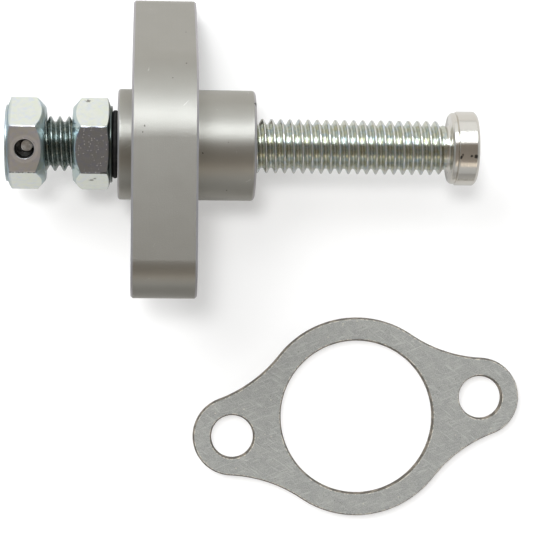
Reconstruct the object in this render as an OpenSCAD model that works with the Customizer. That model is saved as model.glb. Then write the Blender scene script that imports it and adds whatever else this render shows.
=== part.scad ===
// Manual cam chain tensioner for a motorcycle engine, with its flange gasket laid beside it.
// +X runs along the adjuster bolt towards the chain, and +Z is up. The origin is the centre
// of the flange face that seats on the engine. The tensioner lies on one flat of its flange.

/* [Flange] */
// Thickness of the flange
flange_t = 11.05; // [8:0.05:14]
// Radius of the round middle of the flange
flange_r = 18; // [16:0.1:20]
// Radius of the flange round each bolt hole
flange_ear_r = 6.5; // [5:0.1:8]
// Distance between the two mounting bolt holes
bolt_pitch = 46; // [42:0.1:56]
// Diameter of each mounting bolt hole, clear of an M6 bolt
bolt_hole_d = 6.6; // [6.2:0.1:8]
// Chamfer round both faces of the flange
flange_chamfer = 0.35; // [0.1:0.05:0.8]
// Chamfer at the mouths of the bolt holes
hole_chamfer = 0.3; // [0.1:0.05:0.6]

/* [Boss and spigot] */
// Diameter of the spigot that enters the engine
spigot_d = 19.05; // [16:0.05:24]
// Length of the spigot past the flange
spigot_l = 10.1; // [5:0.1:20]
// Rounding at the end of the spigot
spigot_round = 0.7; // [0.2:0.1:2]
// Diameter of the boss on the outer face of the flange
boss_d = 19.05; // [14:0.05:26]
// Length of the boss
boss_l = 2.45; // [1:0.05:8]
// Rounding at the end of the boss
boss_round = 0.5; // [0.1:0.1:0.9]
// Chamfer at both mouths of the threaded bore
bore_chamfer = 0.5; // [0.2:0.05:1]

/* [Adjuster bolt] */
// Outside diameter of the 3/8-16 thread
thread_d = 9.44; // [8:0.02:11]
// Thread pitch, sixteen threads to the inch
thread_pitch = 1.5875; // [1:0.0125:2.5]
// Depth of the thread
thread_depth = 0.95; // [0.5:0.05:1.2]
// Distance from the engine face of the flange to the outer end of the bolt
bolt_out = 32.35; // [30:0.05:40]
// Distance from the engine face of the flange to the underside of the head
head_x = 43.5; // [20:0.5:80]
// Length of the plain neck beside the head
neck_l = 1.1; // [0.6:0.1:2]
// Diameter of the plain neck
neck_d = 8.2; // [7:0.1:9]
// Diameter of the turned head that pushes the chain guide
head_d = 12.9; // [11:0.1:18]
// Length of the head
head_l = 5.1; // [3:0.1:12]
// Length of the cone under the head
head_cone = 1; // [0.4:0.1:2]
// Chamfer round the end of the head
head_chamfer = 0.5; // [0.2:0.1:1]

/* [Nuts] */
// Size of both nuts across the flats
nut_af = 13.9; // [13:0.1:17]
// Height of both nuts
nut_h = 6.75; // [5:0.05:9]
// How far a flat of the nuts is turned away from straight up, in degrees
nut_turn = 12; // [0:1:59]
// Width of the end face left by the deep chamfer
nut_face_d = 12.6; // [11.5:0.1:12.9]
// Slope of the deep chamfer, in degrees from the end face
nut_chamfer_deg = 42; // [25:1:45]
// Width of the raised washer face on the other end
nut_washer_d = 13.2; // [12:0.1:13.6]
// Height of the washer face
nut_washer_t = 0.35; // [0.1:0.05:0.6]
// Slope of the light chamfer behind the washer face, in degrees
nut_light_deg = 20; // [10:1:30]
// Bare thread between the two nuts
nut_gap = 4.65; // [1:0.05:10]

/* [Cross pin] */
// Diameter of the cross pin
pin_d = 3.1; // [2:0.1:3.6]
// Length of the cross pin
pin_l = 11.2; // [10:0.1:13]

/* [Seal] */
// Width of the rubber ring as squeezed between the lock nut and the boss
seal_w = 0.95; // [0.6:0.05:2]
// Outside diameter of the squeezed rubber ring
seal_d = 11.8; // [10.9:0.1:13]

/* [Gasket] */
// Thickness of the gasket
gasket_t = 1.5; // [0.5:0.1:3]
// Diameter of the hole in the middle of the gasket
gasket_hole_d = 27.7; // [20:0.1:30]
// Radius of the round middle of the gasket
gasket_r = 18.1; // [17:0.1:21]
// Radius of the gasket round each bolt hole
gasket_ear_r = 7.2; // [5.5:0.1:8]
// Diameter of the gasket's bolt holes
gasket_bolt_d = 7.6; // [6.6:0.1:8.5]
// Radius of the hollow between the middle and each ear
gasket_hollow_r = 25; // [15:1:40]
// Where the gasket lies along X
gasket_x = 30.1; // [20:0.1:60]
// Where the gasket lies along Y
gasket_y = -48.1; // [-80:0.05:-46]
// How far the gasket is turned where it lies, in degrees
gasket_turn = 9.2; // [0:0.1:30]

/* [Fits] */
// Running clearance on the radius of the thread
thread_fit = 0.05; // [0.02:0.01:0.1]
// Clearance on the radius of the cross pin
pin_fit = 0.05; // [0.02:0.01:0.1]

/* [Hidden] */
$fn = 96;
over = 1;
half_pitch = bolt_pitch / 2;
flat_tilt = asin((flange_r - flange_ear_r) / half_pitch);
flat_l = half_pitch * cos(flat_tilt);
bar_depth = flange_ear_r + 0.75;
bore_r = thread_d / 2 + thread_fit;
root_r = thread_d / 2 - thread_depth;
flank = thread_depth * tan(30);
crest = thread_pitch / 6;
bore_out = flange_t + boss_l;
lock_nut_x = -bore_out - seal_w - nut_h;
drive_nut_x = lock_nut_x - nut_gap - nut_h;
pin_x = drive_nut_x + nut_h / 2;
corner_r = nut_af / 2 / cos(30);
thread_end = head_x - neck_l;
thread_turns = floor((thread_end + bolt_out) / thread_pitch);
table_z = -flange_r;
hollow_u = (pow(gasket_r + gasket_hollow_r, 2) - pow(gasket_ear_r + gasket_hollow_r, 2)
    + pow(half_pitch, 2)) / bolt_pitch;
hollow_v = sqrt(pow(gasket_r + gasket_hollow_r, 2) - pow(hollow_u, 2));

// Lays a shape that was made upright along the bolt's axis
module along_bolt(x) {
    translate([x, 0, 0]) rotate([0, 90, 0]) children();
}

// A disc with the same chamfer round both faces
module chamfered_disc(r, t, c) {
    rotate_extrude() polygon([[0, 0], [r - c, 0], [r, c], [r, t - c], [r - c, t], [0, t]]);
}

// A round bar whose far end has a rounded edge
module rounded_bar(r, l, e) {
    rotate_extrude() {
        square([r - e, l]);
        square([r, l - e]);
        translate([r - e, l - e]) intersection() {
            circle(e);
            square(e);
        }
    }
}

// A through hole with a chamfer at both mouths, from z = 0 to z = l
module chamfered_hole(r, l, c) {
    translate([0, 0, -over]) cylinder(r = r, h = l + 2 * over);
    translate([0, 0, -over]) cylinder(r1 = r + c + over, r2 = r, h = c + over);
    translate([0, 0, l - c]) cylinder(r1 = r, r2 = r + c + over, h = c + over);
}

// One straight side of the flange, between the middle and an ear
module flange_side() {
    rotate([0, 0, -flat_tilt]) rotate([90, 0, 90]) linear_extrude(flat_l)
        polygon([
            [flange_r - bar_depth, 0],
            [flange_r - flange_chamfer, 0],
            [flange_r, flange_chamfer],
            [flange_r, flange_t - flange_chamfer],
            [flange_r - flange_chamfer, flange_t],
            [flange_r - bar_depth, flange_t]
        ]);
}

// The flange flat in its own plane, with its long axis along X
module flange_plate() {
    chamfered_disc(flange_r, flange_t, flange_chamfer);
    for (side = [-1, 1])
        translate([side * half_pitch, 0, 0]) chamfered_disc(flange_ear_r, flange_t, flange_chamfer);
    for (u = [0, 1], v = [0, 1])
        mirror([u, 0, 0]) mirror([0, v, 0]) flange_side();
}

// Flange, boss and spigot, turned and milled from one billet
module tensioner_body() {
    color("#a5a29a") difference() {
        union() {
            translate([-flange_t, 0, 0]) rotate([90, 0, 90]) rotate([0, 0, -flat_tilt]) flange_plate();
            along_bolt(-flange_t) rounded_bar(spigot_d / 2, flange_t + spigot_l, spigot_round);
            mirror([1, 0, 0]) along_bolt(0) rounded_bar(boss_d / 2, bore_out, boss_round);
        }
        along_bolt(-bore_out) chamfered_hole(bore_r, bore_out + spigot_l, bore_chamfer);
        translate([-flange_t, 0, 0]) rotate([90, 0, 90]) rotate([0, 0, -flat_tilt])
            for (side = [-1, 1])
                translate([side * half_pitch, 0, 0]) chamfered_hole(bolt_hole_d / 2, flange_t, hole_chamfer);
    }
}

// Half the section of the bolt, drawn upright: radius along X, and the bolt's length along Y
module bolt_section() {
    polygon(concat(
        [[0, -bolt_out], [root_r, -bolt_out]],
        [for (i = [0:thread_turns - 1], p = [
            [root_r, thread_pitch - 2 * flank - crest],
            [thread_d / 2, thread_pitch - flank - crest],
            [thread_d / 2, thread_pitch - flank],
            [root_r, thread_pitch]
        ]) [p[0], -bolt_out + i * thread_pitch + p[1]]],
        [
            [root_r, thread_end],
            [neck_d / 2, thread_end + (neck_d / 2 - root_r)],
            [neck_d / 2, head_x],
            [thread_d / 2, head_x],
            [head_d / 2, head_x + head_cone],
            [head_d / 2, head_x + head_l - head_chamfer],
            [head_d / 2 - head_chamfer, head_x + head_l],
            [0, head_x + head_l]
        ]
    ));
}

// Adjuster bolt with its turned head, drilled across for the pin
module adjuster_bolt() {
    color("#cfcdbd") difference() {
        along_bolt(0) rotate_extrude() bolt_section();
        cross_hole(pin_d / 2 + pin_fit);
    }
}

// The drilling that the cross pin sits in, square to the upper flat of the drive nut
module cross_hole(r) {
    translate([pin_x, 0, 0]) rotate([nut_turn, 0, 0]) cylinder(r = r, h = 2 * nut_af, center = true);
}

// A hexagon nut from z = 0 up, with its washer face at z = 0 and its deep chamfer at the top
module hexagon_nut() {
    light = (corner_r - nut_washer_d / 2) * tan(nut_light_deg);
    deep = (corner_r - nut_face_d / 2) * tan(nut_chamfer_deg);
    difference() {
        intersection() {
            rotate([0, 0, 30]) cylinder(r = corner_r, h = nut_h, $fn = 6);
            rotate_extrude() polygon([
                [0, 0], [nut_washer_d / 2, 0], [nut_washer_d / 2, nut_washer_t],
                [corner_r, nut_washer_t + light], [corner_r, nut_h - deep],
                [nut_face_d / 2, nut_h], [0, nut_h]
            ]);
        }
        chamfered_hole(bore_r, nut_h, bore_chamfer);
    }
}

// Nut pinned on the outer end of the bolt, which a spanner turns
module drive_nut() {
    color("#c9cbbf") difference() {
        translate([drive_nut_x, 0, 0]) rotate([nut_turn, 0, 0]) along_bolt(0) hexagon_nut();
        cross_hole(pin_d / 2 + pin_fit);
    }
}

// Pin through the drive nut and the bolt, sunk below the flats
module cross_pin() {
    color("#8f8f8a") translate([pin_x, 0, 0]) rotate([nut_turn, 0, 0])
        translate([0, 0, -pin_l / 2]) chamfered_disc(pin_d / 2, pin_l, 0.3);
}

// Nut that locks the adjustment against the body
module lock_nut() {
    color("#c9cbbf") translate([lock_nut_x + nut_h, 0, 0]) rotate([nut_turn, 0, 0])
        mirror([1, 0, 0]) along_bolt(0) hexagon_nut();
}

// Rubber ring that seals the thread, squeezed flat with a bulging rim
module seal_ring() {
    color("#1c1c1c") along_bolt(-bore_out - seal_w) difference() {
        rotate_extrude() {
            square([(seal_d - seal_w) / 2, seal_w]);
            translate([(seal_d - seal_w) / 2, seal_w / 2]) circle(seal_w / 2);
        }
        translate([0, 0, -over]) cylinder(r = bore_r, h = seal_w + 2 * over);
    }
}

// The web that joins an ear to the middle of the gasket, hollowed on both sides
module gasket_web() {
    difference() {
        linear_extrude(gasket_t)
            polygon([[0, 0], [hollow_u, hollow_v], [half_pitch, 0], [hollow_u, -hollow_v]]);
        for (v = [-1, 1])
            translate([hollow_u, v * hollow_v, -over]) cylinder(r = gasket_hollow_r, h = gasket_t + 2 * over);
    }
}

// Gasket for the engine face, taken off and lying on the surface that the tensioner lies on
module flange_gasket() {
    color("#979890") translate([gasket_x, gasket_y, table_z]) rotate([0, 0, gasket_turn])
        difference() {
            union() {
                cylinder(r = gasket_r, h = gasket_t);
                for (side = [0, 1]) mirror([side, 0, 0]) {
                    translate([half_pitch, 0, 0]) cylinder(r = gasket_ear_r, h = gasket_t);
                    gasket_web();
                }
            }
            translate([0, 0, -over]) cylinder(d = gasket_hole_d, h = gasket_t + 2 * over);
            for (side = [-1, 1])
                translate([side * half_pitch, 0, -over]) cylinder(d = gasket_bolt_d, h = gasket_t + 2 * over);
        }
}

tensioner_body();
adjuster_bolt();
drive_nut();
cross_pin();
lock_nut();
seal_ring();
flange_gasket();
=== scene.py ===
# %% [markdown]
# # A manual cam chain tensioner and its gasket
# The object is a hand-set tensioner for an engine's cam chain. A long bolt runs through a billet
# flange, a nut on its outer end turns it, a second nut locks it, and a rubber ring seals the
# thread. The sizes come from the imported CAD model, which is loaded first and never changed.
# Every piece made here is laid over one CAD node and rides on the same body, so that the thread
# still turns and slides when the joints move.

# %% Load the frame and keep the size of the CAD model
import math
import random

import bmesh
import bpy
from mathutils import Matrix, Vector, noise


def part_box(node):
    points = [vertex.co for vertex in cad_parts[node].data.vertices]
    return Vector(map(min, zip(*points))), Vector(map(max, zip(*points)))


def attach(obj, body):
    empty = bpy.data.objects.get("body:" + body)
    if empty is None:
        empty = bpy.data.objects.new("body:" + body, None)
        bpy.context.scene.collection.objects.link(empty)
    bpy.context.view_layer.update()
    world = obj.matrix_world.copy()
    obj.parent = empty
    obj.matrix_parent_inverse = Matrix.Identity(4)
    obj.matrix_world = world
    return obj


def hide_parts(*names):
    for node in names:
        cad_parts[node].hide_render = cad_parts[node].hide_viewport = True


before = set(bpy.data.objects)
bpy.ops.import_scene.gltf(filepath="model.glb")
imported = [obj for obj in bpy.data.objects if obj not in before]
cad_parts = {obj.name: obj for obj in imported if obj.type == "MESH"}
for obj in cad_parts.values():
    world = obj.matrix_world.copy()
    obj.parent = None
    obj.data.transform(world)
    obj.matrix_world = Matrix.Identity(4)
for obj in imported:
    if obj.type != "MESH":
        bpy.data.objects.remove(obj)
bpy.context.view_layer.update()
MM = 0.001

# %% [markdown]
# ## Sizes
# Most sizes are read from the boxes of the CAD nodes. The rest are the real sizes of the thread,
# the flange and the nuts, written once here in millimetres and used by every piece below.

# %% Sizes in millimetres
body_low, body_high = (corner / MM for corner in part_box("tensioner_body"))
bolt_low, bolt_high = (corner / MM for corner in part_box("adjuster_bolt"))
drive_low, drive_high = (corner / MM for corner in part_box("drive_nut"))
lock_low, lock_high = (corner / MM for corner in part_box("lock_nut"))
seal_low, seal_high = (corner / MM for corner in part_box("seal_ring"))
gasket_low, gasket_high = (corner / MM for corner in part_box("flange_gasket"))

TABLE_Z = body_low.z
FLANGE_R = -body_low.z
FLANGE_T = 11.05
EAR_R = 6.5
HALF_PITCH = 23
FLAT_TILT = math.asin((FLANGE_R - EAR_R) / HALF_PITCH)
BOLT_HOLE_R = 3.3
SPIGOT_R = 9.525
BORE_R = 4.77
THREAD_R = 4.72
THREAD_PITCH = 1.5875
THREAD_DEPTH = 0.95
HEAD_X = 43.5
HEAD_R = bolt_high.y
SHOULDER_SHIFT = 0.6
NUT_FLAT = 6.95
NUT_TURN = math.radians(12)
print("flange", round(FLANGE_R, 2), "mm, tilted", round(math.degrees(FLAT_TILT), 1), "degrees")

# %% [markdown]
# ## Helpers for meshes
# Each piece is built from rings of points. Two neighbouring rings with the same number of points
# are joined by quads, which keeps the edges where the real tool left them. The edges that turn by
# more than a set angle are marked sharp, and everything else is shaded smooth.


# %% Shade a mesh, mark its sharp edges and add it to the scene
SAME_POINT = 0.002 * MM
NO_LENGTH = 0.001 * MM


def link_piece(name, mesh, sharp):
    mesh.shade_smooth()
    mesh.set_sharp_from_angle(angle=math.radians(sharp))
    piece = bpy.data.objects.new(name, mesh)
    bpy.context.scene.collection.objects.link(piece)
    print(name, "has", len(mesh.polygons), "faces")
    return piece


# %% Join rings into a mesh
def make_piece(name, points, faces, sharp=32):
    mesh = bpy.data.meshes.new(name)
    mesh.from_pydata([Vector(p) * MM for p in points], [], faces)
    tidy = bmesh.new()
    tidy.from_mesh(mesh)
    bmesh.ops.remove_doubles(tidy, verts=tidy.verts, dist=SAME_POINT)
    bmesh.ops.dissolve_degenerate(tidy, edges=tidy.edges, dist=NO_LENGTH)
    bmesh.ops.recalc_face_normals(tidy, faces=tidy.faces)
    tidy.to_mesh(mesh)
    tidy.free()
    return link_piece(name, mesh, sharp)


def bridge(first, second, count, wrap=True):
    last = count if wrap else count - 1
    return [
        (first + i, first + (i + 1) % count, second + (i + 1) % count, second + i)
        for i in range(last)
    ]


def stack_rings(rings, closed=True):
    points = [p for ring in rings for p in ring]
    count = len(rings[0])
    faces = []
    for k in range(len(rings) if closed else len(rings) - 1):
        faces += bridge(k * count, (k + 1) % len(rings) * count, count)
    return points, faces


# %% Turn a profile round the bolt's axis
def ring_at(x, radius, steps=128):
    angles = [2 * math.pi * i / steps for i in range(steps)]
    return [(x, radius * math.cos(a), radius * math.sin(a)) for a in angles]


def arc(centre, radius, start, end, steps=6):
    turn = [math.radians(start + (end - start) * i / steps) for i in range(steps + 1)]
    return [(centre[0] + radius * math.cos(a), centre[1] + radius * math.sin(a)) for a in turn]


def turned(name, profile, steps=128, sharp=32):
    points, faces = stack_rings([ring_at(x, r, steps) for x, r in profile])
    return make_piece(name, points, faces, sharp)


# %% Keep large faces flat where they meet a small rounding
def even_shading(piece):
    shade = piece.modifiers.new("even shading", "WEIGHTED_NORMAL")
    shade.mode = "FACE_AREA"
    shade.weight = 90
    shade.keep_sharp = True


# %% [markdown]
# ## The body
# The real body is cut from one billet: the flange is milled round its edge, and the boss and the
# spigot are turned. Its outline is three circles joined by straight flats. Written as a formula
# with an inset, the same outline gives the face, the chamfer and the side wall, and the points
# match one to one.


# %% Outline of the flange
def flange_outline(inset, arc_steps=48, ear_steps=24):
    quarter = math.pi / 2
    outline = []
    for side in (0, math.pi):
        for i in range(ear_steps + 1):
            a = side - quarter + FLAT_TILT + (2 * (quarter - FLAT_TILT)) * i / ear_steps
            centre = HALF_PITCH if side == 0 else -HALF_PITCH
            outline.append((centre + (EAR_R - inset) * math.cos(a), (EAR_R - inset) * math.sin(a)))
        for i in range(arc_steps + 1):
            a = side + quarter - FLAT_TILT + 2 * FLAT_TILT * i / arc_steps
            outline.append(((FLANGE_R - inset) * math.cos(a), (FLANGE_R - inset) * math.sin(a)))
    return outline


def circle_outline(centre, radius, steps=64):
    angles = [2 * math.pi * i / steps for i in range(steps)]
    return [(centre + radius * math.cos(a), radius * math.sin(a)) for a in angles]


def in_flange_plane(outline, x):
    c, s = math.cos(-FLAT_TILT), math.sin(-FLAT_TILT)
    return [(x, c * u - s * v, s * u + c * v) for u, v in outline]


# %% Faces with holes, filled between their loops
def fill_between(mesh, loops):
    edges = []
    for loop in loops:
        verts = [mesh.verts.new(Vector(p) * MM) for p in loop]
        edges += [mesh.edges.new((verts[i - 1], verts[i])) for i in range(len(verts))]
    bmesh.ops.triangle_fill(mesh, edges=edges, use_beauty=True)


def add_rings(mesh, rings, closed=False):
    made = [[mesh.verts.new(Vector(p) * MM) for p in ring] for ring in rings]
    pairs = list(zip(made, made[1:]))
    if closed:
        pairs.append((made[-1], made[0]))
    for low, high in pairs:
        for i in range(len(low)):
            mesh.faces.new((low[i - 1], low[i], high[i], high[i - 1]))


def finish_mesh(name, mesh, sharp=32):
    bmesh.ops.remove_doubles(mesh, verts=mesh.verts, dist=SAME_POINT)
    bmesh.ops.recalc_face_normals(mesh, faces=mesh.faces)
    data = bpy.data.meshes.new(name)
    mesh.to_mesh(data)
    mesh.free()
    return link_piece(name, data, sharp)


# %% Build the body
def build_body():
    mesh = bmesh.new()
    bevel, hole_bevel, mouth = 0.35, 0.3, 0.5
    outer_x, inner_x = -FLANGE_T, 0.0
    sides = [(outer_x, bevel), (outer_x + bevel, 0), (inner_x - bevel, 0), (inner_x, bevel)]
    add_rings(mesh, [in_flange_plane(flange_outline(inset), x) for x, inset in sides])
    holes = [(outer_x, -hole_bevel), (outer_x + hole_bevel, 0), (inner_x - hole_bevel, 0)]
    holes.append((inner_x, -hole_bevel))
    for centre in (-HALF_PITCH, HALF_PITCH):
        rings = [circle_outline(centre, BOLT_HOLE_R - inset) for x, inset in holes]
        add_rings(mesh, [in_flange_plane(r, x) for r, (x, inset) in zip(rings, holes)])
    for x in (outer_x, inner_x):
        loops = [in_flange_plane(flange_outline(bevel), x), ring_at(x, SPIGOT_R)]
        for centre in (-HALF_PITCH, HALF_PITCH):
            loops.append(in_flange_plane(circle_outline(centre, BOLT_HOLE_R + hole_bevel), x))
        fill_between(mesh, loops)
    boss = [(outer_x, SPIGOT_R)]
    boss += [(x, r) for x, r in arc((body_low.x + 0.5, SPIGOT_R - 0.5), 0.5, 90, 180)]
    boss += [(body_low.x, BORE_R + mouth), (body_low.x + mouth, BORE_R)]
    spigot = [(body_high.x - mouth, BORE_R), (body_high.x, BORE_R + mouth)]
    spigot += [(x, r) for x, r in arc((body_high.x - 0.7, SPIGOT_R - 0.7), 0.7, 0, 90)]
    spigot.append((inner_x, SPIGOT_R))
    add_rings(mesh, [ring_at(x, r) for x, r in boss + spigot])
    return finish_mesh("body_billet", mesh)


body = build_body()
even_shading(body)
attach(body, "housing")
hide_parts("tensioner_body")

# %% [markdown]
# ## The adjuster bolt
# The thread is a real helix. A short profile of one pitch is carried round the axis and moves
# along by one pitch a turn, so the crests stay crisp at any angle. Near both ends the depth fades
# to nothing, as a rolled thread runs out, and the rings there join the turned head.

# %% Profile of one pitch, as a share of the pitch and of the depth
THREAD_FORM = [
    (0.00, 0.00),
    (0.09, 0.03),
    (0.15, 0.13),
    (0.37, 0.84),
    (0.42, 0.96),
    (0.47, 1.00),
    (0.53, 1.00),
    (0.58, 0.96),
    (0.63, 0.84),
    (0.85, 0.13),
    (0.91, 0.03),
]
THREAD_PHASE = -0.5


def smooth_step(value):
    t = min(max(value, 0.0), 1.0)
    return t * t * (3 - 2 * t)


# %% Carry the profile along a right-hand helix
def thread_rings(start, end, steps=64, fade_in=0.7, fade_out=1.6):
    root = THREAD_R - THREAD_DEPTH
    first = math.floor((start - THREAD_PHASE) / THREAD_PITCH) - 1
    last = math.ceil((end - THREAD_PHASE) / THREAD_PITCH) + 1
    rings = []
    for turn in range(first, last):
        for share, height in THREAD_FORM:
            ring = []
            for i in range(steps):
                angle = i / steps
                x = THREAD_PHASE + (turn + share + angle) * THREAD_PITCH
                at = min(max(x, start), end)
                fade = smooth_step((at - start) / fade_in) * smooth_step((end - at) / fade_out)
                radius = root + THREAD_DEPTH * height * fade
                a = 2 * math.pi * angle
                ring.append((at, radius * math.cos(a), radius * math.sin(a)))
            rings.append(ring)
    return rings


def build_thread(start, end, steps=64):
    rings = thread_rings(start, end, steps)
    per_turn = len(THREAD_FORM)
    points = [p for ring in rings for p in ring]
    faces = []
    for k in range(len(rings) - 1):
        low, high = k * steps, (k + 1) * steps
        faces += bridge(low, high, steps, wrap=False)
        low_end, high_end = low + steps - 1, high + steps - 1
        low_start, high_start = low + per_turn * steps, high + per_turn * steps
        if high_start < len(points):
            faces.append((low_end, low_start, high_start, high_end))
    return points, faces


# %% Build the bolt
def build_bolt():
    steps = 96
    root = THREAD_R - THREAD_DEPTH
    head_x = HEAD_X + SHOULDER_SHIFT
    thread_end = head_x - 0.55
    points, faces = build_thread(bolt_low.x, thread_end, steps)
    head_end = bolt_high.x
    # Groove, shoulder, rounded edge, side and end chamfer of the head, each as x and radius
    head = [(thread_end, root), (head_x - 0.3, root + 0.1), (head_x - 0.08, root + 0.42)]
    head += [(head_x, THREAD_R - 0.1), (head_x + 0.03, THREAD_R + 0.05)]
    head += [(head_x + 0.5 + x, r) for x, r in arc((0, HEAD_R - 0.95), 0.72, 150, 60, 5)]
    head += arc((head_x + 1.1, HEAD_R - 0.16), 0.16, 160, 90, 4)
    head += [(head_x + 1.2, HEAD_R), (head_end - 0.6, HEAD_R), (head_end - 0.5, HEAD_R)]
    head += [(head_end - 0.44, HEAD_R - 0.03), (head_end - 0.05, HEAD_R - 0.4)]
    head += [(head_end, HEAD_R - 0.48), (head_end, HEAD_R - 0.56), (head_end, 0.4)]
    for profile in (head, [(bolt_low.x, root), (bolt_low.x, 0.4)]):
        rings = [ring_at(x, r, steps) for x, r in profile]
        more, joined = stack_rings(rings, closed=False)
        base = len(points)
        points += more
        faces += [tuple(base + i for i in face) for face in joined]
        faces.append(tuple(range(len(points) - steps, len(points))))
    return make_piece("adjuster_bolt_threaded", points, faces, sharp=50)


bolt = build_bolt()
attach(bolt, "adjuster")
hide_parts("adjuster_bolt")

# %% [markdown]
# ## The two nuts
# A hexagon nut is cut from bar, and a cone then cuts its corners at each end. One end here has a
# deep cone, the other a thin turned washer face with a shallow cone behind it. At every angle the
# outline of the hexagon is known, and the depth of the cone follows from it, so the rings carry
# the true curved edges. A narrow ring on each side of an edge rounds it a little.

# %% Sizes of a nut
NUT_CORNER_R = 0.4
NUT_MOUTH = 0.5
NUT_EDGE = 0.08
DEEP_FACE_R, DEEP_ANGLE = 6.3, math.radians(42)
WASHER_R, WASHER_T, LIGHT_ANGLE = 6.6, 0.35, math.radians(20)


# %% Outline of a hexagon with rounded corners
def hexagon_radius(angle):
    sixth = math.pi / 3
    off = abs((angle + sixth / 2) % sixth - sixth / 2)
    from_corner = sixth / 2 - off
    reach = (NUT_FLAT - NUT_CORNER_R) / math.cos(sixth / 2)
    edge = math.atan2(NUT_CORNER_R / 2, reach + NUT_CORNER_R * math.cos(sixth / 2))
    if from_corner < edge:
        swing = reach * math.sin(from_corner)
        return reach * math.cos(from_corner) + math.sqrt(NUT_CORNER_R**2 - swing**2)
    return NUT_FLAT / math.cos(off)


def nut_angles(flat_steps=22, corner_steps=10):
    sixth = math.pi / 3
    angles = []
    for side in range(6):
        middle = side * sixth
        along = [-1 + 2 * i / flat_steps for i in range(flat_steps)]
        angles += [middle + sixth / 2 * 0.94 * s for s in along]
        near = [0.94 + 0.12 * i / corner_steps for i in range(corner_steps)]
        angles += [middle + sixth / 2 * s for s in near]
    return sorted(angles)


# %% The two kinds of end, as depth and radius from the bore outwards
def cone_edge(depth, radius, angle):
    before = (depth - NUT_EDGE * math.sin(angle), radius - NUT_EDGE * math.cos(angle))
    return [before, (depth + NUT_EDGE, radius)]


def deep_end(radius):
    marks = [(NUT_MOUTH, BORE_R), (0, BORE_R + NUT_MOUTH), (0, DEEP_FACE_R - NUT_EDGE)]
    marks.append((NUT_EDGE * math.sin(DEEP_ANGLE), DEEP_FACE_R + NUT_EDGE * math.cos(DEEP_ANGLE)))
    depth = (radius - DEEP_FACE_R) * math.tan(DEEP_ANGLE)
    return marks + cone_edge(depth, radius, DEEP_ANGLE)


def washer_end(radius):
    marks = [(NUT_MOUTH, BORE_R), (0, BORE_R + NUT_MOUTH), (0, WASHER_R - NUT_EDGE)]
    marks += [(NUT_EDGE, WASHER_R), (WASHER_T, WASHER_R)]
    depth = WASHER_T + (radius - WASHER_R) * math.tan(LIGHT_ANGLE)
    return marks + cone_edge(depth, radius, LIGHT_ANGLE)


# %% Build a nut from its two ends
def build_nut(name, low, high, end_low, end_high):
    columns = []
    for a in nut_angles():
        rho = hexagon_radius(a)
        marks = [(low + depth, r) for depth, r in end_low(rho)]
        marks += [(high - depth, r) for depth, r in reversed(end_high(rho))]
        columns.append([(x, r * math.cos(a), r * math.sin(a)) for x, r in marks])
    points, faces = stack_rings([list(ring) for ring in zip(*columns)])
    turn = Matrix.Rotation(NUT_TURN + math.pi / 2, 3, "X")
    return make_piece(name, [turn @ Vector(p) for p in points], faces, sharp=50)


# %% Drill the drive nut across
def drill(piece, x, radius, flare):
    across = NUT_FLAT + 0.6
    half = [(NUT_FLAT - flare, radius), (NUT_FLAT, radius + flare)]
    half += [(across, radius + flare), (across, 0.01)]
    rings = [(-z, r) for z, r in reversed(half)] + half
    circle = [2 * math.pi * i / 48 for i in range(48)]
    shape = [[(r * math.cos(a), r * math.sin(a), z) for a in circle] for z, r in rings]
    points, faces = stack_rings(shape, closed=False)
    place = Matrix.Translation((x, 0, 0)) @ Matrix.Rotation(NUT_TURN, 4, "X")
    cutter = make_piece("cutter", [place @ Vector(p) for p in points], faces)
    cut = piece.modifiers.new("cross hole", "BOOLEAN")
    cut.object = cutter
    cut.solver = "EXACT"
    drilled = piece.evaluated_get(bpy.context.evaluated_depsgraph_get())
    mesh = bpy.data.meshes.new_from_object(drilled)
    piece.modifiers.clear()
    piece.data = mesh
    mesh.shade_smooth()
    mesh.set_sharp_from_angle(angle=math.radians(40))
    bpy.data.objects.remove(cutter)
    print(piece.name, "drilled, now", len(mesh.polygons), "faces")


# %% Make both nuts
PIN_X = (drive_low.x + drive_high.x) / 2
drive_nut = build_nut("drive_nut_plated", drive_low.x, drive_high.x, washer_end, deep_end)
drill(drive_nut, PIN_X, 1.6, 0.12)
even_shading(drive_nut)
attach(drive_nut, "adjuster")
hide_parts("drive_nut")

lock_nut = build_nut("lock_nut_plated", lock_low.x, lock_high.x, deep_end, washer_end)
even_shading(lock_nut)
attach(lock_nut, "lock")
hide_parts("lock_nut")

# %% [markdown]
# ## The cross pin
# A short steel pin ties the drive nut to the bolt. Its end sits below the flat and was broken off
# and not turned, so it slopes and shows a few uneven facets. Rings of points are enough, with the
# end leaned to one side and roughened from a fixed seed.


# %% Build the pin
def build_pin(radius=1.55, length=11.2, steps=28):
    rng = random.Random(4)
    place = Matrix.Translation((PIN_X, 0, 0)) @ Matrix.Rotation(NUT_TURN, 4, "X")
    half = length / 2
    turn = [2 * math.pi * i / steps for i in range(steps)]
    rings = []
    for z, r in ((-half, 0.3), (-half, radius - 0.3), (-half + 0.3, radius), (half - 0.9, radius)):
        rings.append([(r * math.cos(a), r * math.sin(a), z) for a in turn])
    for share, drop, lean in ((0.72, 0.6, 0.3), (0.62, 0.3, 0.36), (0.3, 0.28, 0.36)):
        ring = []
        for a in turn:
            slope = 0.12 * math.cos(3 * a + 0.6) * share + rng.uniform(-0.05, 0.02)
            x, y = radius * share * math.cos(a) + lean, radius * share * math.sin(a) + lean
            ring.append((x, y, half - drop + slope))
        rings.append(ring)
    points, faces = stack_rings(rings, closed=False)
    faces += [tuple(range(steps)), tuple(range(len(points) - steps, len(points)))]
    return make_piece("cross_pin_cut", [place @ Vector(p) for p in points], faces, sharp=25)


pin = build_pin()
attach(pin, "adjuster")
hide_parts("cross_pin")

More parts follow.
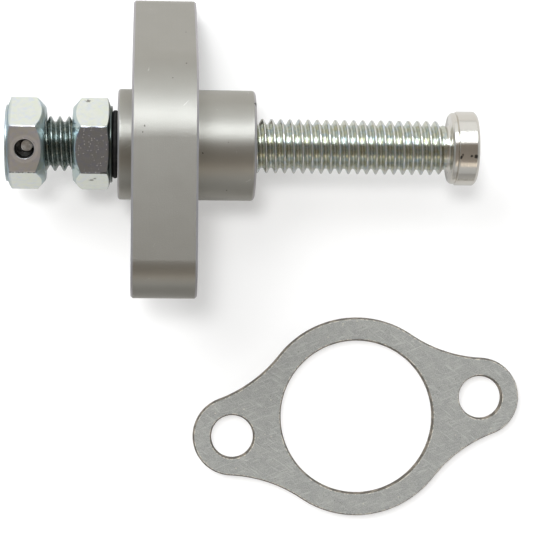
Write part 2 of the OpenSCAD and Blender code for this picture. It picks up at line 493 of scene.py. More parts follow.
# %% [markdown]
# ## The rubber ring
# The ring is squeezed flat between the lock nut and the boss, so its sides are flat and its rim
# bulges. It is a turned profile with a half-round rim.

# %% Build the ring
seal_r = (seal_high.x - seal_low.x) / 2
seal_profile = [(seal_low.x, BORE_R), (seal_low.x, seal_high.y - seal_r)]
seal_mid = ((seal_low.x + seal_high.x) / 2, seal_high.y - seal_r)
seal_profile += arc(seal_mid, seal_r, 180, 0, 12)
seal_profile += [(seal_high.x, BORE_R)]
seal = turned("seal_ring_squeezed", seal_profile, steps=96, sharp=50)
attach(seal, "seal")
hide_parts("seal_ring")

# %% [markdown]
# ## The gasket
# The gasket is stamped from sheet. Stamping rounds the upper edge and leaves a rough cut below
# it that widens downwards, so the rings run from the flat face over a small roll and then down a
# slightly sloping wall. The outline is again a formula with an inset: three circles with a hollow
# between each pair.

# %% Sizes of the gasket
GASKET_T = gasket_high.z - gasket_low.z
GASKET_R = 18.1
GASKET_EAR_R = 7.2
GASKET_HOLLOW_R = 25.0
GASKET_HOLE_R = 13.85
GASKET_BOLT_R = 3.8
GASKET_TURN = math.radians(9.2)
GASKET_X = (gasket_low.x + gasket_high.x) / 2
GASKET_Y = (gasket_low.y + gasket_high.y) / 2
GASKET_AT = Vector((GASKET_X, GASKET_Y, gasket_low.z))
reach_mid = GASKET_R + GASKET_HOLLOW_R
reach_ear = GASKET_EAR_R + GASKET_HOLLOW_R
HOLLOW_U = (reach_mid**2 - reach_ear**2 + HALF_PITCH**2) / (2 * HALF_PITCH)
HOLLOW_V = math.sqrt(reach_mid**2 - HOLLOW_U**2)
print("gasket", round(GASKET_T, 2), "mm thick, centred at", [round(c, 2) for c in GASKET_AT])


# %% Outline of the gasket
def gasket_quarter(inset, ear_steps=14, hollow_steps=14, middle_steps=18):
    to_ear = math.atan2(HOLLOW_V, HOLLOW_U - HALF_PITCH)
    to_middle = math.atan2(HOLLOW_V, HOLLOW_U)
    quarter = []
    for i in range(ear_steps):
        a = to_ear * i / ear_steps
        radius = GASKET_EAR_R - inset
        quarter.append((HALF_PITCH + radius * math.cos(a), radius * math.sin(a)))
    for i in range(hollow_steps):
        a = to_ear + math.pi + (to_middle - to_ear) * i / hollow_steps
        radius = GASKET_HOLLOW_R + inset
        quarter.append((HOLLOW_U + radius * math.cos(a), HOLLOW_V + radius * math.sin(a)))
    for i in range(middle_steps + 1):
        a = to_middle + (math.pi / 2 - to_middle) * i / middle_steps
        radius = GASKET_R - inset
        quarter.append((radius * math.cos(a), radius * math.sin(a)))
    return quarter


def gasket_outline(inset):
    quarter = gasket_quarter(inset)
    half = quarter + [(-u, v) for u, v in quarter[-2::-1]]
    return half + [(u, -v) for u, v in half[-2:0:-1]]


# %% Lay an outline on the table, with a little unevenness at the stamped edge
def on_table(outline, height, rough=0.0):
    c, s = math.cos(GASKET_TURN), math.sin(GASKET_TURN)
    ring = []
    for u, v in outline:
        jitter = rough * noise.noise(Vector((u * 0.9, v * 0.9, height * 2.0)))
        long = math.hypot(u, v)
        u, v = u * (1 - jitter / long), v * (1 - jitter / long)
        x, y = GASKET_AT.x + c * u - s * v, GASKET_AT.y + s * u + c * v
        ring.append((x, y, GASKET_AT.z + height))
    return ring


# %% Build the gasket
def build_gasket():
    mesh = bmesh.new()
    foot, lean, roll = 0.05, 0.22, 0.24
    marks = [(0.0, foot, 0.0), (foot, 0.0, 0.0), (GASKET_T * 0.4, lean * 0.4, 0.06)]
    marks.append((GASKET_T - roll, lean, 0.04))
    for share in (0.25, 0.5, 0.75, 1.0):
        a = share * math.pi / 2
        marks.append((GASKET_T - roll + roll * math.sin(a), lean + roll * (1 - math.cos(a)), 0.0))
    outlines = [gasket_outline]
    holes = [(0, GASKET_HOLE_R, 120)]
    holes += [(side * HALF_PITCH, GASKET_BOLT_R, 56) for side in (-1, 1)]
    for centre, radius, steps in holes:
        outlines.append(lambda inset, c=centre, r=radius, n=steps: circle_outline(c, r + inset, n))
    for outline in outlines:
        add_rings(mesh, [on_table(outline(inset), height, rough) for height, inset, rough in marks])
    for height, inset, rough in (marks[0], marks[-1]):
        fill_between(mesh, [on_table(outline(inset), height, rough) for outline in outlines])
    return finish_mesh("gasket_stamped", mesh, sharp=50)


gasket = build_gasket()
even_shading(gasket)
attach(gasket, "housing")
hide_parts("flange_gasket")

# %% [markdown]
# ## The camera
# The photograph looks straight down on the table from about 36 cm, through a long lens. The
# camera stands over the middle of the flange and leans 3.5 degrees, which brings both items into
# the frame without shifting the lens.

# %% Camera
camera_data = bpy.data.cameras.new("camera")
camera = bpy.data.objects.new("camera", camera_data)
bpy.context.scene.collection.objects.link(camera)
camera.location = Vector((-8.26, -22.07, 340)) * MM
camera.rotation_euler = (math.radians(0.126), math.radians(-3.472), math.radians(0.482))
camera_data.lens = 131.88
camera_data.clip_start = 0.01
bpy.context.scene.camera = camera
print("camera at", [round(c, 4) for c in camera.location])

# %% [markdown]
# ## Helpers for nodes
# World, floor and finishes are all small node trees. One helper adds a node, sets its options and
# fills its inputs, and links an input where it is given the output of another node.


# %% Add a node, a sum or a mix
def put(tree, kind, inputs=None, **options):
    node = tree.nodes.new("ShaderNode" + kind)
    for name, value in options.items():
        setattr(node, name, value)
    for key, value in (inputs or {}).items():
        if isinstance(value, bpy.types.NodeSocket):
            tree.links.new(value, node.inputs[key])
        else:
            node.inputs[key].default_value = value
    return node


def maths(tree, operation, first, second=0.0):
    return put(tree, "Math", {0: first, 1: second}, operation=operation).outputs[0]


def times(tree, first, second):
    return maths(tree, "MULTIPLY", first, second)


def vector_maths(tree, operation, first, second=(0, 0, 0), out="Vector"):
    return put(tree, "VectorMath", {0: first, 1: second}, operation=operation).outputs[out]


def split(tree, vector):
    return put(tree, "SeparateXYZ", {0: vector}).outputs


def spread(tree, value, low, high, to_low=0.0, to_high=1.0):
    inputs = {"Value": value, "From Min": low, "From Max": high}
    inputs |= {"To Min": to_low, "To Max": to_high}
    return put(tree, "MapRange", inputs).outputs["Result"]


def mix_colors(tree, factor, first, second, mode="MIX"):
    node = put(tree, "Mix", {0: factor}, data_type="RGBA", blend_type=mode)
    for index, value in ((6, first), (7, second)):
        if isinstance(value, bpy.types.NodeSocket):
            tree.links.new(value, node.inputs[index])
        else:
            node.inputs[index].default_value = (*value, 1)
    return node.outputs[2]


# %% [markdown]
# ## Light
# Shiny round metal shows its surroundings, so the world follows what the photograph shows in it.
# From front to back it has pale walls, with a narrow warm window on the right, a dark patch
# overhead, where the camera is, a bright lamp just behind that, and pale walls again. Two soft
# boxes at the sides show only in the gloss of the metal, and brighten the satin metal most. The
# soft shadow at the lower right comes from two lamps of their own, which the metal doesn't
# mirror, because a real studio's many lamps add up to that.


# %% A lamp that looks at the middle of the object
def soft_box(name, turn_x, lean_y, size, power, distance=0.6):
    data = bpy.data.lights.new(name, "AREA")
    data.shape = "RECTANGLE"
    data.size, data.size_y = size
    data.energy = power
    lamp = bpy.data.objects.new(name, data)
    bpy.context.scene.collection.objects.link(lamp)
    aim = Vector((0.012, -0.02, 0.0))
    direction = Vector((math.tan(math.radians(turn_x)), math.tan(math.radians(lean_y)), 1))
    lamp.location = aim + direction.normalized() * distance
    lamp.rotation_euler = (aim - lamp.location).to_track_quat("-Z", "Y").to_euler()
    return lamp


for name, turn_x in (("left_box", -22), ("right_box", 22)):
    edge_lamp = soft_box(name, turn_x, 35, size=(0.15, 0.34), power=1.15)
    edge_lamp.data.color = (0.85, 0.91, 1.0)
    edge_lamp.visible_diffuse = False
for name, turn_x, lean_y, width in (("near_box", -7, 7, 0.10), ("side_box", -28, 30, 0.3)):
    shading_lamp = soft_box(name, turn_x, lean_y, size=(width, width), power=1.5)
    shading_lamp.visible_glossy = False

# %% World in bands, by the angle from straight up towards the back
BANDS = [(-90, 0.52), (-66, 0.60), (-46, 0.36), (-34, 0.29), (-8, 0.25), (9, 0.26), (17, 1.0)]
BANDS += [(38, 1.0), (43, 0.62), (50, 0.62), (55, 1.0), (75, 1.02), (90, 0.98)]
DARK_BELOW = 0.4
BLUE_SHARE_DARK, BLUE_SHARE_PALE = 0.80, 1.04
WINDOW_FOOT, WINDOW_TOP, WINDOW_LEFT = (-1.12, -1.08), (-0.84, -0.88), (0.05, 0.13)
WINDOW_COLOR = (1.25, 1.12, 0.98)
END_WALLS, END_COLOR = (0.5, 0.9), (0.44, 0.48, 0.51)

world = bpy.data.worlds.new("studio")
bpy.context.scene.world = world
world.use_nodes = True
sky = world.node_tree
sky.nodes.clear()
sky_way = split(sky, put(sky, "TexCoord").outputs["Generated"])
sky_angle = maths(sky, "ARCTAN2", sky_way["Y"], sky_way["Z"])
sky_place = spread(sky, sky_angle, -math.pi / 2, math.pi / 2)
sky_ramp = put(sky, "ValToRGB", {"Fac": sky_place})
for index, (angle, level) in enumerate(BANDS):
    if index > 1:
        sky_ramp.color_ramp.elements.new((angle + 90) / 180)
    stop = sky_ramp.color_ramp.elements[index]
    stop.position = (angle + 90) / 180
    blue = BLUE_SHARE_DARK if level < DARK_BELOW else BLUE_SHARE_PALE
    stop.color = (level, level * (blue + 1) / 2, level * blue, 1)
window_foot = spread(sky, sky_angle, *WINDOW_FOOT)
sky_window = times(sky, window_foot, spread(sky, sky_angle, *WINDOW_TOP))
sky_window = times(sky, sky_window, spread(sky, sky_way["X"], *WINDOW_LEFT))
sky_color = mix_colors(sky, sky_window, sky_ramp.outputs["Color"], WINDOW_COLOR)
sky_end = spread(sky, maths(sky, "ABSOLUTE", sky_way["X"]), *END_WALLS)
sky_color = mix_colors(sky, sky_end, sky_color, END_COLOR)
sky_light = put(sky, "Background", {"Color": sky_color})
sky_seen = put(sky, "Background", {"Color": (1, 1, 1, 1)})
sky_path = put(sky, "LightPath").outputs["Is Camera Ray"]
sky_mix = put(sky, "MixShader", {0: sky_path, 1: sky_light.outputs[0], 2: sky_seen.outputs[0]})
put(sky, "OutputWorld", {"Surface": sky_mix.outputs[0]})
bpy.context.scene.view_settings.view_transform = "Standard"
print("the world has", len(BANDS), "bands")

# %% Floor, a hair below the part
FLOOR_REACH, FLOOR_GAP = 2.5, 0.00005
floor_mesh = bpy.data.meshes.new("floor")
corners = [(-1, -1), (1, -1), (1, 1), (-1, 1)]
floor_z = TABLE_Z * MM - FLOOR_GAP
floor_points = [(x * FLOOR_REACH, y * FLOOR_REACH, floor_z) for x, y in corners]
floor_mesh.from_pydata(floor_points, [], [(0, 1, 2, 3)])
floor = bpy.data.objects.new("floor", floor_mesh)
bpy.context.scene.collection.objects.link(floor)
print("floor at", round(floor_z / MM, 2), "mm")

# %% [markdown]
# The table is white paper. The camera sees it as a glowing white that still takes the shadow. The
# metal sees it a little greyer, and much darker towards the front, painted there as the reflection
# of a darker room.

# %% Paper for the floor
paper = bpy.data.materials.new("white_paper")
paper.use_nodes = True
tree = paper.node_tree
tree.nodes.clear()
path = put(tree, "LightPath").outputs
place_y = split(tree, put(tree, "NewGeometry").outputs["Position"])["Y"]
# Painted reflection: for the metal, the paper darkens towards the front, as a darker room would.
front = spread(tree, place_y, -0.062, -0.040, 0.38, 0.62)
level = maths(tree, "ADD", front, spread(tree, place_y, -0.01, 0.02, 0.0, 0.14))
level = spread(tree, path["Is Glossy Ray"], 0.0, 1.0, 1.0, level)
shade = put(tree, "BsdfDiffuse", {"Color": mix_colors(tree, level, (0, 0, 0), (0.75, 0.75, 0.75))})
glow = put(tree, "Emission", {"Color": mix_colors(tree, level, (0, 0, 0), (0.27, 0.27, 0.27))})
seen = put(tree, "AddShader", {0: shade.outputs[0], 1: glow.outputs[0]})
lit = put(tree, "BsdfDiffuse", {"Color": (0.8, 0.8, 0.8, 1)})
direct = maths(tree, "MAXIMUM", path["Is Camera Ray"], path["Is Glossy Ray"])
surface = put(tree, "MixShader", {0: direct, 1: lit.outputs[0], 2: seen.outputs[0]})
put(tree, "OutputMaterial", {"Surface": surface.outputs[0]})
floor.data.materials.append(paper)

# %% [markdown]
# ## Effects that several finishes share
# Grain, turning marks, specks, scratches and single marks appear on more than one piece. Each is a
# node group with named sockets, built once, and each finish places it with its own values. They
# work on object coordinates, which are metres here, so the sizes below are real millimetres and
# stay with a piece when it moves.


# %% Start a group, and place a group in a material
def start_group(name, output, **inputs):
    group = bpy.data.node_groups.new(name, "ShaderNodeTree")
    for label, value in inputs.items():
        kind = "NodeSocketVector" if isinstance(value, tuple) else "NodeSocketFloat"
        socket = group.interface.new_socket(label, in_out="INPUT", socket_type=kind)
        socket.default_value = value
    group.interface.new_socket(output, in_out="OUTPUT", socket_type="NodeSocketFloat")
    given = group.nodes.new("NodeGroupInput").outputs
    result = group.nodes.new("NodeGroupOutput").inputs
    return group, given, result


def place(tree, group, **values):
    node = tree.nodes.new("ShaderNodeGroup")
    node.node_tree = group
    for name, value in values.items():
        if isinstance(value, bpy.types.NodeSocket):
            tree.links.new(value, node.inputs[name])
        else:
            node.inputs[name].default_value = value
    return node.outputs[0]


def millimetres(tree):
    metres = put(tree, "TexCoord").outputs["Object"]
    return vector_maths(tree, "MULTIPLY", metres, (1000, 1000, 1000))


# %% Grain: soft random light and dark of a given size
grain, given, result = start_group("fine_grain", "Value", Size=0.2)
rate = maths(grain, "DIVIDE", 1.0, given["Size"])
cloud = put(grain, "TexNoise", {"Vector": millimetres(grain), "Scale": rate, "Detail": 2.0})
grain.links.new(cloud.outputs["Fac"], result["Value"])

# %% Turning marks: fine lines across the way that the tool moved
turning, given, result = start_group("turning_marks", "Lines", Across=0.0, Pitch=0.2)
wander = put(turning, "TexNoise", {"Vector": millimetres(turning), "Scale": 0.35, "Detail": 1.0})
count = maths(turning, "DIVIDE", given["Across"], given["Pitch"])
count = maths(turning, "ADD", count, times(turning, wander.outputs["Fac"], 1.2))
lines = {"W": count, "Scale": 1.0, "Detail": 3.0, "Roughness": 0.7}
lines = put(turning, "TexNoise", lines, noise_dimensions="1D")
turning.links.new(lines.outputs["Fac"], result["Lines"])

# %% Specks: small scattered spots, of which only a share show
specks, given, result = start_group("specks", "Mask", Spacing=1.0, Size=0.2, Share=0.3)
rate = maths(specks, "DIVIDE", 1.0, given["Spacing"])
cells = put(specks, "TexVoronoi", {"Vector": millimetres(specks), "Scale": rate})
core = times(specks, given["Size"], 0.5)
spot = spread(specks, cells.outputs["Distance"], given["Size"], core)
chance = put(specks, "SeparateColor", {0: cells.outputs["Color"]}).outputs[0]
chosen = maths(specks, "LESS_THAN", chance, given["Share"])
specks.links.new(times(specks, spot, chosen), result["Mask"])

# %% Scratches: hair lines along the level curves of a slow noise, in a few places
scratches, given, result = start_group("scratches", "Mask", Size=4.0, Width=0.02, Share=0.3)
where = millimetres(scratches)
rate = maths(scratches, "DIVIDE", 1.0, given["Size"])
slow = put(scratches, "TexNoise", {"Vector": where, "Scale": rate, "Detail": 0.0})
off = maths(scratches, "ABSOLUTE", maths(scratches, "SUBTRACT", slow.outputs["Fac"], 0.5))
hair = spread(scratches, off, given["Width"], 0.0)
patch = put(scratches, "TexNoise", {"Vector": where, "Scale": times(scratches, rate, 2.7)})
least = maths(scratches, "SUBTRACT", 0.75, times(scratches, given["Share"], 0.5))
shown = spread(scratches, patch.outputs["Fac"], least, maths(scratches, "ADD", least, 0.06))
scratches.links.new(times(scratches, hair, shown), result["Mask"])

# %% One mark: a small ragged spot at a place in millimetres
one_mark, given, result = start_group("one_mark", "Mask", Centre=(0.0, 0.0, 0.0), Size=0.5)
where = millimetres(one_mark)
gap = vector_maths(one_mark, "DISTANCE", where, given["Centre"], out="Value")
ragged = put(one_mark, "TexNoise", {"Vector": where, "Scale": 3.0, "Detail": 2.0})
gap = times(one_mark, gap, spread(one_mark, ragged.outputs["Fac"], 0.3, 0.7, 0.6, 1.5))
edge = times(one_mark, given["Size"], 0.55)
one_mark.links.new(spread(one_mark, gap, given["Size"], edge), result["Mask"])
print("groups:", [group.name for group in bpy.data.node_groups])

# %% [markdown]
# ## Finishes
# Every finish starts from a plain shader. The groups then vary its colour and roughness and give
# it a fine relief. What is the same all over stays as a number on the shader itself.


# %% Start a material, and give it a relief
def new_material(name, metallic, roughness):
    material = bpy.data.materials.new(name)
    material.use_nodes = True
    shader = material.node_tree.nodes["Principled BSDF"]
    shader.inputs["Metallic"].default_value = metallic
    shader.inputs["Roughness"].default_value = roughness
    return material, material.node_tree, shader


def relief(tree, shader, height, depth_mm):
    bump = put(tree, "Bump", {"Height": height, "Distance": depth_mm * MM, "Strength": 1.0})
    tree.links.new(bump.outputs["Normal"], shader.inputs["Normal"])


def finish_with(tree, shader, color, roughness):
    tree.links.new(color, shader.inputs["Base Color"])
    tree.links.new(roughness, shader.inputs["Roughness"])


def add_up(tree, *parts):
    total = None
    for value, share in parts:
        part = times(tree, value, share)
        total = part if total is None else maths(tree, "ADD", total, part)
    return total


def most_of(tree, masks):
    total = masks[0]
    for mask in masks[1:]:
        total = maths(tree, "MAXIMUM", total, mask)
    return total


# %% Masks that more than one finish needs
def marks_at(tree, marks):
    return most_of(tree, [place(tree, one_mark, Centre=at, Size=size) for at, size in marks])


def facing(tree, axis):
    return split(tree, put(tree, "NewGeometry").outputs["Normal"])[axis]


def distance_from_line(tree, **across):
    line = put(tree, "CombineXYZ", across).outputs[0]
    return vector_maths(tree, "LENGTH", line, out="Value")


def tinted(tree, color, tint):
    return mix_colors(tree, 1.0, color, tint, "MULTIPLY")


# %% [markdown]
# ### Anodised billet
# Turned and milled aluminium under clear anodising is a warm grey with a satin gloss. Fine lines
# run round it from the tool, the highlight sparkles, and a few dark specks and light scratches
# have come with use. The bevels get a paler violet colour, a painted reflection.

# %% Anodised billet
BODY_SPOTS = [((-8.9, 1.9, 17.9), 0.17), ((-9.2, 0.9, 18.0), 0.12)]
BODY_SPOTS += [((10.0, 6.6, 6.4), 0.5), ((0.9, -1.9, 9.3), 0.14)]

anodised, tree, shader = new_material("anodised_billet", 1.0, 0.4)
along = split(tree, millimetres(tree))["X"]
sparkle = place(tree, grain, Size=0.16)
clouds = place(tree, grain, Size=5.0)
tool_lines = place(tree, turning, Across=along, Pitch=0.35)
pits = place(tree, specks, Spacing=2.4, Size=0.07, Share=0.25)
hairs = place(tree, scratches, Size=7.0, Width=0.006, Share=0.25)
clouded = spread(tree, clouds, 0.3, 0.7)
color = mix_colors(tree, clouded, (0.385, 0.370, 0.328), (0.402, 0.387, 0.345))
slope = maths(tree, "ABSOLUTE", facing(tree, "X"))
# Painted reflection: faces that lean towards the ends, the bevels, get a paler violet colour.
bevel = times(tree, spread(tree, slope, 0.35, 0.6), spread(tree, slope, 0.95, 0.8))
color = mix_colors(tree, times(tree, bevel, 0.4), color, (0.60, 0.57, 0.66))
dirt = maths(tree, "MAXIMUM", marks_at(tree, BODY_SPOTS), times(tree, pits, 0.8))
color = mix_colors(tree, dirt, color, (0.08, 0.075, 0.07))
color = mix_colors(tree, times(tree, hairs, 0.5), color, (0.8, 0.79, 0.76))
rough = add_up(tree, (sparkle, 0.16), (tool_lines, 0.06))
finish_with(tree, shader, color, maths(tree, "ADD", rough, 0.27))
relief(tree, shader, add_up(tree, (sparkle, 2.4), (tool_lines, 0.8), (pits, -1.5)), 0.006)

# %% [markdown]
# ### Zinc plate
# Zinc plate is bright with a faint yellow, green or purple cast. The thread is darker in its roots
# and between the nuts, and has a dark line of painted shade and dirt beside its crests. The turned
# head is smoother and shows fine lines round it. Both nuts are mottled, with a worn lower edge, and
# painted shade darkens their upper flats, their chamfers and one end of each. The drive nut has
# rings round its cross hole from spot facing, lightened as a painted highlight, and painted shade
# inside the hole.


# %% Colour of the plate, which drifts between its casts
def plated_color(tree, pale, warm, cool):
    drift = place(tree, grain, Size=1.7)
    other = place(tree, grain, Size=0.9)
    color = mix_colors(tree, spread(tree, drift, 0.35, 0.65), pale, warm)
    return mix_colors(tree, spread(tree, other, 0.45, 0.75), color, cool)


# %% Zinc plate on the bolt
HEAD_SPOTS = [((45.3, -1.9, 6.2), 0.32), ((47.1, -1.7, 6.2), 0.28)]
HEAD_SPOTS += [((47.9, -1.8, 6.2), 0.38), ((45.6, -1.5, 6.3), 0.2)]

zinc_bolt, tree, shader = new_material("zinc_bolt", 1.0, 0.2)
where = split(tree, millimetres(tree))
from_axis = distance_from_line(tree, Y=where["Y"], Z=where["Z"])
on_head = spread(tree, where["X"], HEAD_X - 0.3, HEAD_X)
off_head = maths(tree, "SUBTRACT", 1.0, on_head)
turned_lines = place(tree, turning, Across=where["X"], Pitch=0.16)
fine = place(tree, grain, Size=0.6)
color = plated_color(tree, (0.68, 0.70, 0.62), (0.66, 0.65, 0.50), (0.56, 0.66, 0.71))
color = mix_colors(tree, on_head, color, (0.70, 0.67, 0.61))
crest = times(tree, spread(tree, from_axis, THREAD_R - 0.12, THREAD_R - 0.02), off_head)
color = mix_colors(tree, times(tree, crest, 0.2), color, (0.74, 0.66, 0.80))
# Painted shade and dirt: a dark line just below each crest of the thread.
crest_shade_and_dirt = maths(tree, "ABSOLUTE", maths(tree, "SUBTRACT", from_axis, THREAD_R - 0.14))
crest_shade_and_dirt = times(tree, spread(tree, crest_shade_and_dirt, 0.07, 0.03), off_head)
color = mix_colors(tree, times(tree, crest_shade_and_dirt, 0.6), color, (0.16, 0.15, 0.16))
# Darker and rougher in the thread's roots, most of all between the nuts.
darker_roots = spread(tree, from_axis, THREAD_R - 0.35, THREAD_R - THREAD_DEPTH + 0.1)
between = spread(tree, where["X"], lock_low.x + 1.5, lock_low.x - 0.5, 0.3, 1.0)
darker_roots = times(tree, darker_roots, times(tree, between, spread(tree, fine, 0.2, 0.6)))
darker_roots = times(tree, darker_roots, off_head)
color = mix_colors(tree, darker_roots, color, (0.12, 0.11, 0.09))
spots = marks_at(tree, HEAD_SPOTS)
color = mix_colors(tree, times(tree, spots, 0.9), color, (0.03, 0.028, 0.025))
# Darker and greener on the thread between the nuts.
darker_between_nuts = spread(tree, where["X"], lock_low.x + 0.5, lock_low.x - 0.5)
darker_between_nuts = times(tree, darker_between_nuts, spread(tree, fine, 0.3, 0.6, 0.5, 0.95))
color = mix_colors(tree, darker_between_nuts, color, (0.17, 0.21, 0.20))
rough = add_up(tree, (fine, 0.08), (darker_roots, 0.15), (off_head, 0.05))
finish_with(tree, shader, color, maths(tree, "ADD", rough, 0.07))
lines = times(tree, turned_lines, spread(tree, on_head, 0.0, 1.0, 0.15, 1.0))
relief(tree, shader, add_up(tree, (lines, 2.2), (fine, 0.25)), 0.012)


# %% Zinc plate on a nut, with or without rings round the cross hole
def plated_nut(name, spot_faced, dullness, speckle, top_flat_shade, shaded_end, marks):
    material, tree, shader = new_material(name, 1.0, 0.2)
    fine = place(tree, grain, Size=0.3)
    clouds = place(tree, grain, Size=1.1)
    pits = place(tree, specks, Spacing=0.42, Size=0.2, Share=speckle)
    hairs = place(tree, scratches, Size=3.0, Width=0.01, Share=0.35)
    color = plated_color(tree, (0.82, 0.84, 0.77), (0.80, 0.83, 0.72), (0.75, 0.79, 0.82))
    from_pin = vector_maths(tree, "SUBTRACT", millimetres(tree), (PIN_X, 0, 0))
    turned_back = {"Vector": from_pin, "Angle": -NUT_TURN}
    level = put(tree, "VectorRotate", turned_back, rotation_type="X_AXIS")
    flat = split(tree, level.outputs[0])
    on_top = spread(tree, flat["Z"], NUT_FLAT - 0.12, NUT_FLAT - 0.03)
    # Painted shade: the nut's upper flat is darkened and tinted.
    color = mix_colors(tree, on_top, color, tinted(tree, color, top_flat_shade))
    pits = times(tree, pits, spread(tree, on_top, 0.0, 1.0, 0.15, 1.0))
    # Painted shade: one end of each nut is darkened, past the given x.
    unshaded_x, shaded_x, shade = shaded_end
    end_shade = spread(tree, split(tree, millimetres(tree))["X"], unshaded_x, shaded_x)
    color = mix_colors(tree, end_shade, color, tinted(tree, color, shade))
    # Painted shade: faces that lean towards the ends, the chamfers, are darkened and tinted blue.
    chamfer_shade = spread(tree, maths(tree, "ABSOLUTE", facing(tree, "X")), 0.2, 0.5)
    color = mix_colors(tree, chamfer_shade, color, tinted(tree, color, (0.62, 0.70, 0.76)))
    bare = times(tree, pits, 0.6)
    color = mix_colors(tree, bare, color, (0.62, 0.57, 0.50))
    tree.links.new(maths(tree, "SUBTRACT", 1.0, bare), shader.inputs["Metallic"])
    half_side = NUT_FLAT * 0.577
    lower = maths(tree, "ABSOLUTE", maths(tree, "ADD", flat["Y"], half_side))
    worn = times(tree, spread(tree, lower, 0.16, 0.08), spread(tree, flat["Z"], 6.5, 6.7))
    worn = times(tree, worn, spread(tree, fine, 0.42, 0.5))
    color = mix_colors(tree, times(tree, worn, 0.85), color, (0.07, 0.065, 0.06))
    stains = marks_at(tree, marks)
    color = mix_colors(tree, times(tree, stains, 0.75), color, (0.1, 0.09, 0.08))
    height = add_up(tree, (fine, 0.6), (clouds, 1.2), (pits, -0.8), (hairs, -0.5))
    if spot_faced:
        away = distance_from_line(tree, X=flat["X"], Y=flat["Y"])
        rings = place(tree, turning, Across=away, Pitch=0.55)
        # Painted shade: the walls of the cross hole are nearly black.
        color = mix_colors(tree, spread(tree, away, 1.75, 1.62), color, (0.015, 0.014, 0.012))
        near = spread(tree, away, 3.6, 2.2)
        # Spot-facing rings round the hole, lightened on the upper flat as a painted highlight.
        ring_highlight = times(tree, near, spread(tree, rings, 0.45, 0.6, 0.0, 0.55))
        color = mix_colors(tree, times(tree, ring_highlight, on_top), color, (0.95, 0.92, 0.9))
        height = maths(tree, "ADD", height, times(tree, rings, times(tree, near, 2.5)))
    rough = maths(tree, "ADD", add_up(tree, (fine, 0.12), (clouds, 0.12)), dullness)
    finish_with(tree, shader, color, rough)
    relief(tree, shader, height, 0.003)
    return material


zinc_drive = plated_nut(
    "zinc_drive_nut",
    spot_faced=True,
    dullness=0.2,
    speckle=0.35,
    top_flat_shade=(0.90, 0.85, 0.90),
    shaded_end=(drive_low.x + 1.1, drive_low.x + 0.5, (0.62, 0.68, 0.74)),
    marks=[((-28.9, 4.0, 7.0), 0.3)],
)
zinc_lock = plated_nut(
    "zinc_lock_nut",
    spot_faced=False,
    dullness=0.08,
    speckle=0.75,
    top_flat_shade=(0.54, 0.54, 0.63),
    shaded_end=(lock_high.x - 0.75, lock_high.x - 0.35, (0.16, 0.18, 0.18)),
    marks=[((-18.6, 7.2, 2.4), 0.45), ((-17.9, -6.4, 2.9), 0.5), ((-17.4, -6.1, 3.6), 0.4)],
)

# %% [markdown]
# ### Pin, rubber and gasket sheet
# The pin's broken end is plain light steel. The rubber is black with a faint bloom. The gasket is
# pressed fibre: grey, finely speckled, with beige flecks and dark pits, brown where it is cut,
# and with pale crumbs on its rolled edge.

# %% Steel of the pin
pin_steel, tree, shader = new_material("pin_steel", 1.0, 0.35)
torn = place(tree, grain, Size=0.5)
color = mix_colors(tree, spread(tree, torn, 0.35, 0.65), (0.50, 0.49, 0.46), (0.78, 0.77, 0.74))
shaded = spread(tree, facing(tree, "Z"), 0.75, 0.5)
color = mix_colors(tree, shaded, color, (0.02, 0.02, 0.02))
finish_with(tree, shader, color, spread(tree, torn, 0.3, 0.7, 0.3, 0.5))
relief(tree, shader, torn, 0.03)

# %% Rubber
rubber, tree, shader = new_material("black_rubber", 0.0, 0.5)
bloom = place(tree, grain, Size=0.7)
bloomed = spread(tree, bloom, 0.4, 0.7)
color = mix_colors(tree, bloomed, (0.010, 0.010, 0.010), (0.022, 0.021, 0.020))
finish_with(tree, shader, color, spread(tree, bloom, 0.3, 0.7, 0.6, 0.75))
shader.inputs["Specular IOR Level"].default_value = 0.3
relief(tree, shader, place(tree, grain, Size=0.12), 0.004)

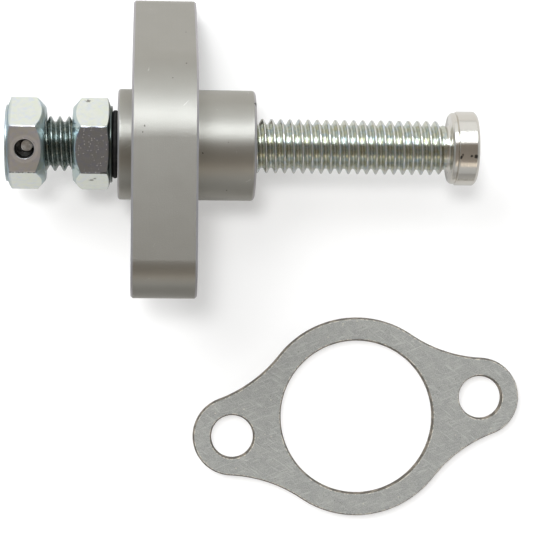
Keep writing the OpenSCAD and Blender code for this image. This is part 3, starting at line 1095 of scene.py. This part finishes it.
# %% Gasket sheet
sheet, tree, shader = new_material("jointing_sheet", 0.0, 0.65)
fibre = place(tree, grain, Size=0.14)
pulp = place(tree, grain, Size=1.4)
strands = []
for turn, seed in ((0.6, 0.0), (-0.35, 40.0)):
    inputs = {"Vector": millimetres(tree), "Angle": turn}
    way = put(tree, "VectorRotate", inputs, rotation_type="Z_AXIS").outputs[0]
    way = vector_maths(tree, "MULTIPLY", way, (0.45, 3.2, 1.0))
    way = vector_maths(tree, "ADD", way, (seed, seed, 0))
    strand = put(tree, "TexNoise", {"Vector": way, "Scale": 1.0, "Detail": 2.0})
    strands.append(spread(tree, strand.outputs["Fac"], 0.56, 0.72))
strands = most_of(tree, strands)
pits = place(tree, specks, Spacing=1.0, Size=0.13, Share=0.35)
flecks = place(tree, specks, Spacing=1.3, Size=0.12, Share=0.3)
hairs = place(tree, scratches, Size=5.0, Width=0.008, Share=0.3)
facing_up = facing(tree, "Z")
cut = spread(tree, maths(tree, "ABSOLUTE", facing_up), 0.85, 0.5)
color = mix_colors(tree, spread(tree, fibre, 0.3, 0.7), (0.19, 0.193, 0.184), (0.36, 0.365, 0.345))
color = mix_colors(tree, times(tree, strands, 0.28), color, (0.56, 0.56, 0.53))
color = mix_colors(tree, spread(tree, pulp, 0.4, 0.7, 0.0, 0.25), color, (0.42, 0.42, 0.39))
color = mix_colors(tree, times(tree, pits, 0.65), color, (0.10, 0.10, 0.09))
color = mix_colors(tree, times(tree, flecks, 0.6), color, (0.62, 0.57, 0.47))
color = mix_colors(tree, times(tree, hairs, 0.5), color, (0.6, 0.6, 0.57))
browned = spread(tree, pulp, 0.45, 0.6)
cut_color = mix_colors(tree, browned, (0.09, 0.075, 0.055), (0.26, 0.22, 0.17))
color = mix_colors(tree, times(tree, cut, 0.9), color, cut_color)
rolled = spread(tree, facing_up, 0.995, 0.96)
rolled = times(tree, rolled, spread(tree, facing_up, 0.55, 0.75))
crumbs = times(tree, rolled, spread(tree, place(tree, grain, Size=0.45), 0.5, 0.56))
color = mix_colors(tree, times(tree, crumbs, 0.8), color, (0.66, 0.61, 0.52))
finish_with(tree, shader, color, spread(tree, fibre, 0.3, 0.7, 0.55, 0.75))
relief(tree, shader, add_up(tree, (fibre, 1.0), (strands, 0.8), (pits, -1.5), (hairs, 0.6)), 0.03)

# %% Put each finish on its piece
for piece, material in (
    (body, anodised),
    (bolt, zinc_bolt),
    (drive_nut, zinc_drive),
    (lock_nut, zinc_lock),
    (pin, pin_steel),
    (seal, rubber),
    (gasket, sheet),
):
    piece.data.materials.clear()
    piece.data.materials.append(material)
    print(piece.name, "is finished in", material.name)
